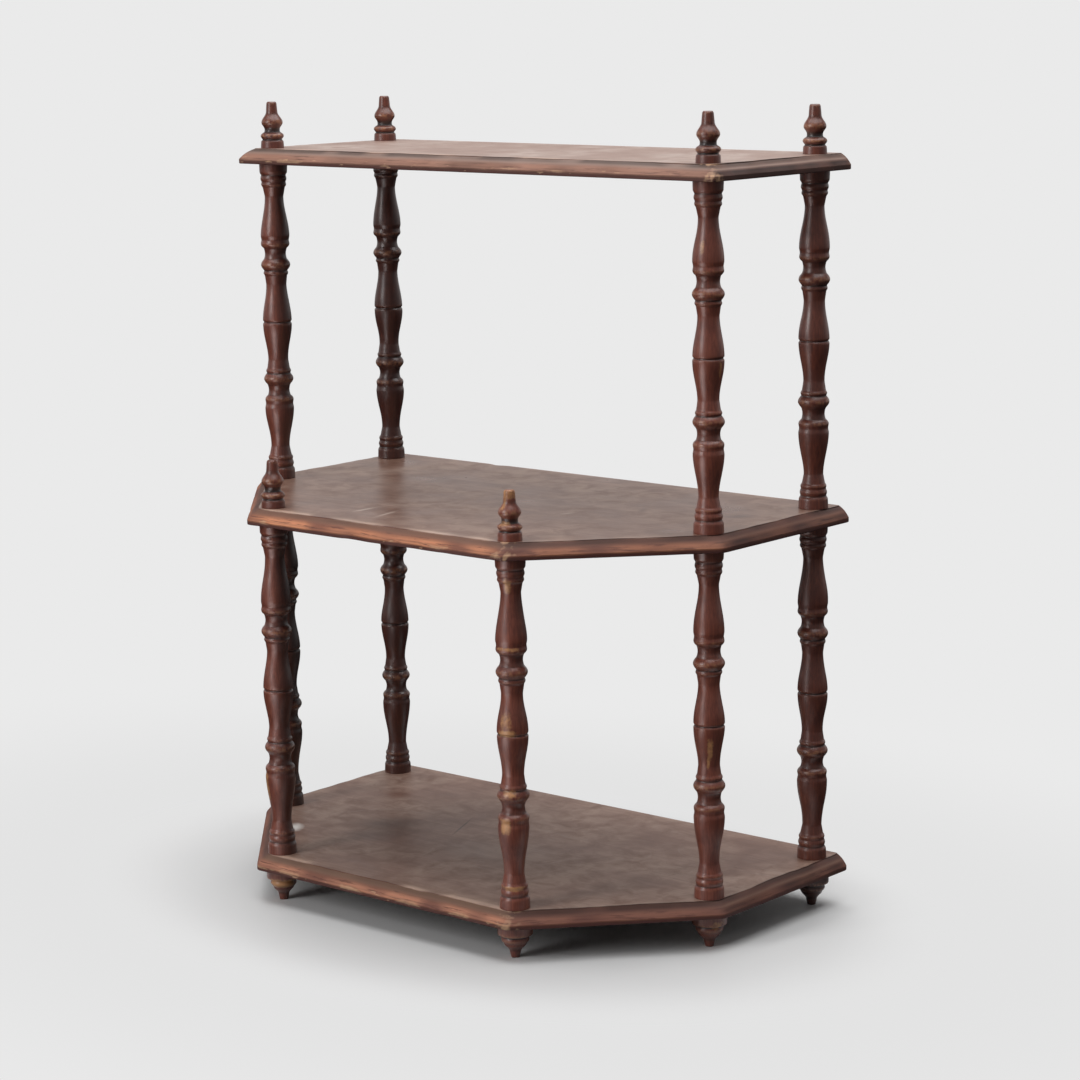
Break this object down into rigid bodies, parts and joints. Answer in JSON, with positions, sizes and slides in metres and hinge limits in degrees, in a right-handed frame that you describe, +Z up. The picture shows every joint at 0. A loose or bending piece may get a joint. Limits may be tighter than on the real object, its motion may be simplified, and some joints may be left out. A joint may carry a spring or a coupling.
{
  "type": "wall shelf",
  "caption": "Tiered wood etagere with turned spindle posts, bevelled boards, small finials and pointed feet, for ornaments and books.",
  "frame": {"origin": "on the floor under the middle of the plan, level with the tips of the feet", "axes": "+Z up, +Y towards the wall behind the plain back edges, -Y is the front, +X to the right seen from the front"},
  "size_m": [0.578, 0.3434, 0.7513],
  "materials": {
    "top_shelf_wood": "stained, faded and worn, satin",
    "middle_shelf_wood": "stained, faded and worn, satin",
    "bottom_shelf_wood": "stained, faded and worn, satin",
    "spindle_wood": "dark red-brown stain, polished",
    "finial_wood": "dark red-brown stain, polished",
    "foot_wood": "dark red-brown stain, worn"
  },
  "bodies": {
    "root": {"bottom_shelf": "bottom_shelf_wood", "foot_back_left": "foot_wood", "foot_back_right": "foot_wood", "foot_front_left": "foot_wood", "foot_front_right": "foot_wood", "foot_side_left": "foot_wood", "foot_side_right": "foot_wood", "lower_spindle_back_left": "spindle_wood", "lower_spindle_back_right": "spindle_wood", "lower_spindle_front_left": "spindle_wood", "lower_spindle_front_right": "spindle_wood", "lower_spindle_side_left": "spindle_wood", "lower_spindle_side_right": "spindle_wood", "middle_finial_front_left": "finial_wood", "middle_finial_front_right": "finial_wood", "middle_shelf": "middle_shelf_wood", "top_finial_back_left": "finial_wood", "top_finial_back_right": "finial_wood", "top_finial_side_left": "finial_wood", "top_finial_side_right": "finial_wood", "top_shelf": "top_shelf_wood", "upper_spindle_back_left": "spindle_wood", "upper_spindle_back_right": "spindle_wood", "upper_spindle_side_left": "spindle_wood", "upper_spindle_side_right": "spindle_wood"}
  },
  "joints": []
}
